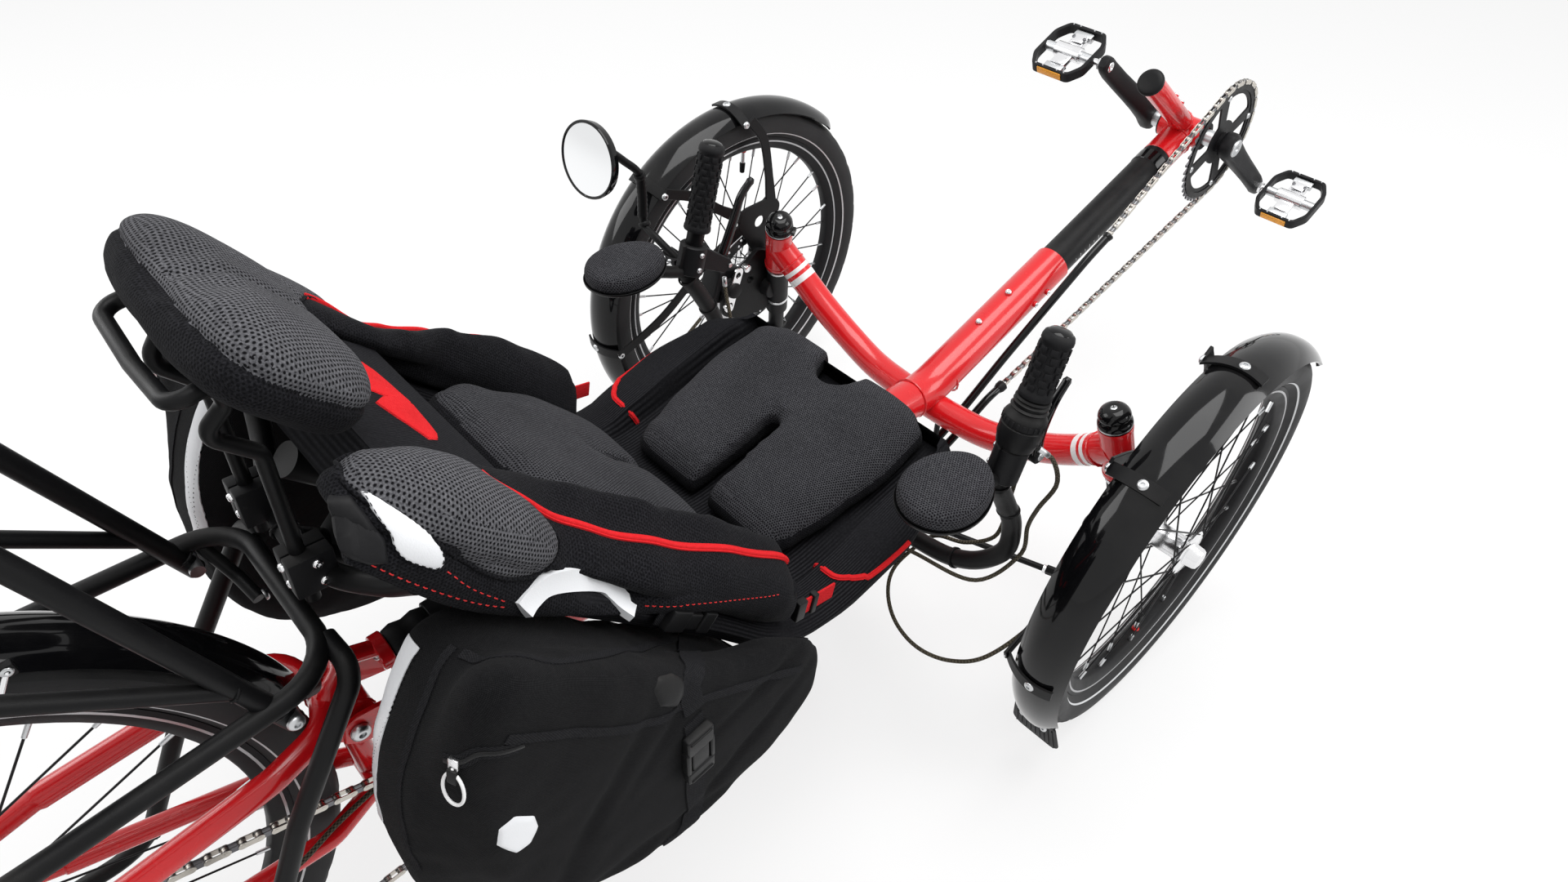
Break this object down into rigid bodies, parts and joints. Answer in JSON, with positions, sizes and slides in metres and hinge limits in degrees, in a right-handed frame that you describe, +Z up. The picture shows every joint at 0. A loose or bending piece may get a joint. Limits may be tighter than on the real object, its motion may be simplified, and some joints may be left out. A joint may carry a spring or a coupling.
{
  "type": "recumbent tricycle",
  "caption": "Recumbent tricycle with a mesh bucket seat, under-seat steering, sprung rear wheel, sliding boom, mudguards, rack and side bags.",
  "frame": {"origin": "on the ground, under the middle of the bounding box", "axes": "+Y forward towards the pedals, +X to the rider's right, +Z up"},
  "size_m": [0.831, 2.2455, 0.7844],
  "materials": {
    "red_paint": "gloss",
    "black_metal": "satin",
    "gloss_black": "gloss",
    "black_plastic": "satin",
    "rubber": "matt",
    "tyre": "matt",
    "steel": "satin",
    "cable_housing": "braided",
    "grey_mesh": "spacer mesh",
    "black_mesh": "mesh",
    "canvas": "woven"
  },
  "bodies": {
    "frame": {"main_frame": "red_paint", "seat_frame": "black_metal", "seat_shell": "black_mesh", "seat_cushion": "grey_mesh", "back_pad": "grey_mesh", "bolster_left": "black_mesh", "bolster_right": "black_mesh", "pannier_left": "canvas", "pannier_right": "canvas", "rack": "black_metal", "chain_tube_upper": "gloss_black", "chain_tube_lower": "gloss_black", "elastomer": "rubber", "brake_cable_left": "cable_housing", "brake_cable_right": "cable_housing", "shift_cable": "cable_housing"},
    "neck_rest": {"neck_tube": "black_metal", "neck_pad": "grey_mesh"},
    "chain_idler": {"idler_wheel": "black_plastic"},
    "rear_arm": {"swingarm": "red_paint", "rear_fender": "gloss_black", "derailleur": "black_metal", "chain_rear": "steel"},
    "driven_wheel": {"rear_wheel": "black_metal", "rear_tyre": "tyre"},
    "sprockets": {"cassette": "steel"},
    "boom": {"boom_tube": "black_metal", "boom_head": "red_paint", "chain_front": "steel"},
    "crankset": {"crank_right": "black_metal", "crank_left": "black_metal", "chainring": "black_metal"},
    "right_pedal": {"pedal_right": "black_plastic"},
    "left_pedal": {"pedal_left": "black_plastic"},
    "steering_bar": {"handlebar": "black_metal", "grip_left": "rubber", "grip_right": "rubber", "armrest_left": "grey_mesh", "armrest_right": "grey_mesh", "mirror_arm": "black_metal"},
    "right_brake_lever": {"brake_lever_right": "gloss_black"},
    "left_brake_lever": {"brake_lever_left": "gloss_black"},
    "shifter": {"twist_shifter": "black_plastic"},
    "mirror": {"mirror_head": "gloss_black"},
    "right_track_rod": {"track_rod_right": "black_metal"},
    "left_track_rod": {"track_rod_left": "black_metal"},
    "right_knuckle": {"upright_right": "black_metal", "kingpin_cap_right": "gloss_black", "front_right_fender": "gloss_black", "front_right_fender_bracket": "black_metal"},
    "left_knuckle": {"upright_left": "black_metal", "kingpin_cap_left": "gloss_black", "front_left_fender": "gloss_black", "front_left_fender_bracket": "black_metal"},
    "right_wheel": {"front_right_wheel": "black_metal", "front_right_tyre": "tyre", "front_right_rotor": "steel"},
    "left_wheel": {"front_left_wheel": "black_metal", "front_left_tyre": "tyre", "front_left_rotor": "steel"}
  },
  "joints": [
    {"name": "swingarm_hinge", "type": "hinge", "parent": "frame", "child": "rear_arm", "pos_m": [0, -0.425, 0.345], "axis": [-1, 0, 0], "range_deg": [0, 9], "stiffness_Nm_per_rad": 400, "springref_deg": -17.19, "deforming": ["elastomer", "chain_rear"]},
    {"name": "rear_wheel_spin", "type": "hinge", "parent": "rear_arm", "child": "driven_wheel", "pos_m": [0, -0.778, 0.3275], "axis": [-1, 0, 0], "continuous": true},
    {"name": "cassette_spin", "type": "hinge", "parent": "rear_arm", "child": "sprockets", "pos_m": [0, -0.778, 0.3275], "axis": [-1, 0, 0], "continuous": true},
    {"name": "idler_spin", "type": "hinge", "parent": "frame", "child": "chain_idler", "pos_m": [0.048, -0.065, 0.195], "axis": [-1, 0, 0], "continuous": true},
    {"name": "boom_slide", "type": "slide", "parent": "frame", "child": "boom", "axis": [0, 0.9511, 0.309], "range_m": [-0.025, 0.06], "deforming": ["chain_front"]},
    {"name": "crank_spin", "type": "hinge", "parent": "boom", "child": "crankset", "pos_m": [0, 0.949, 0.422], "axis": [-1, 0, 0], "continuous": true},
    {"name": "pedal_right_spin", "type": "hinge", "parent": "crankset", "child": "right_pedal", "pos_m": [0.149, 1.0754, 0.31594], "axis": [1, 0, 0], "continuous": true},
    {"name": "pedal_left_spin", "type": "hinge", "parent": "crankset", "child": "left_pedal", "pos_m": [-0.149, 0.8226, 0.52806], "axis": [1, 0, 0], "continuous": true},
    {"name": "steering", "type": "hinge", "parent": "frame", "child": "steering_bar", "pos_m": [0, 0.29, 0.175], "axis": [0, 0, 1], "range_deg": [-15, 15], "deforming": ["brake_cable_left", "brake_cable_right", "shift_cable"]},
    {"name": "kingpin_right", "type": "hinge", "parent": "frame", "child": "right_knuckle", "pos_m": [0.3014, 0.3825, 0.25], "axis": [-0.2291, -0.1909, 0.9545], "range_deg": [-17, 17]},
    {"name": "kingpin_left", "type": "hinge", "parent": "frame", "child": "left_knuckle", "pos_m": [-0.3014, 0.3825, 0.25], "axis": [0.2291, -0.1909, 0.9545], "range_deg": [-17, 17]},
    {"name": "track_rod_right_turn", "type": "hinge", "parent": "steering_bar", "child": "right_track_rod", "pos_m": [0.014, 0.212, 0.158], "axis": [0.0344, 0.0702, 0.9969], "range_deg": [-17.5, 17.5]},
    {"name": "track_rod_left_turn", "type": "hinge", "parent": "steering_bar", "child": "left_track_rod", "pos_m": [-0.014, 0.212, 0.158], "axis": [-0.0344, 0.0702, 0.9969], "range_deg": [-17.5, 17.5]},
    {"name": "front_wheel_right_spin", "type": "hinge", "parent": "right_knuckle", "child": "right_wheel", "pos_m": [0.3755, 0.365, 0.25], "axis": [-1, 0, 0], "continuous": true},
    {"name": "front_wheel_left_spin", "type": "hinge", "parent": "left_knuckle", "child": "left_wheel", "pos_m": [-0.3755, 0.365, 0.25], "axis": [-1, 0, 0], "continuous": true},
    {"name": "brake_lever_right_pull", "type": "hinge", "parent": "steering_bar", "child": "right_brake_lever", "pos_m": [0.25, 0.237, 0.386], "axis": [1, 0, 0], "range_deg": [0, 9], "stiffness_Nm_per_rad": 0.6, "springref_deg": -17.19},
    {"name": "brake_lever_left_pull", "type": "hinge", "parent": "steering_bar", "child": "left_brake_lever", "pos_m": [-0.262, 0.241, 0.376], "axis": [1, 0, 0], "range_deg": [0, 9], "stiffness_Nm_per_rad": 0.6, "springref_deg": -17.19},
    {"name": "shifter_twist", "type": "hinge", "parent": "steering_bar", "child": "shifter", "pos_m": [0.248, 0.19609, 0.46027], "axis": [0, 0.2891, 0.9573], "range_deg": [0, 100]},
    {"name": "mirror_turn", "type": "hinge", "parent": "steering_bar", "child": "mirror", "pos_m": [-0.331, 0.129, 0.538], "axis": [0, 0, 1], "range_deg": [-25, 25]},
    {"name": "neck_rest_slide", "type": "slide", "parent": "frame", "child": "neck_rest", "axis": [0, 0.0896, 0.996], "range_m": [0, 0.04]}
  ],
  "couplings": [
    {"joint": "cassette_spin", "follows": "crank_spin", "ratio": 1.4084},
    {"joint": "idler_spin", "follows": "crank_spin", "ratio": -2.8976},
    {"joint": "kingpin_right", "follows": "steering", "ratio": 1.0595},
    {"joint": "kingpin_left", "follows": "steering", "ratio": 1.0595},
    {"joint": "track_rod_right_turn", "follows": "steering", "ratio": -1.0776},
    {"joint": "track_rod_left_turn", "follows": "steering", "ratio": -1.0776}
  ]
}
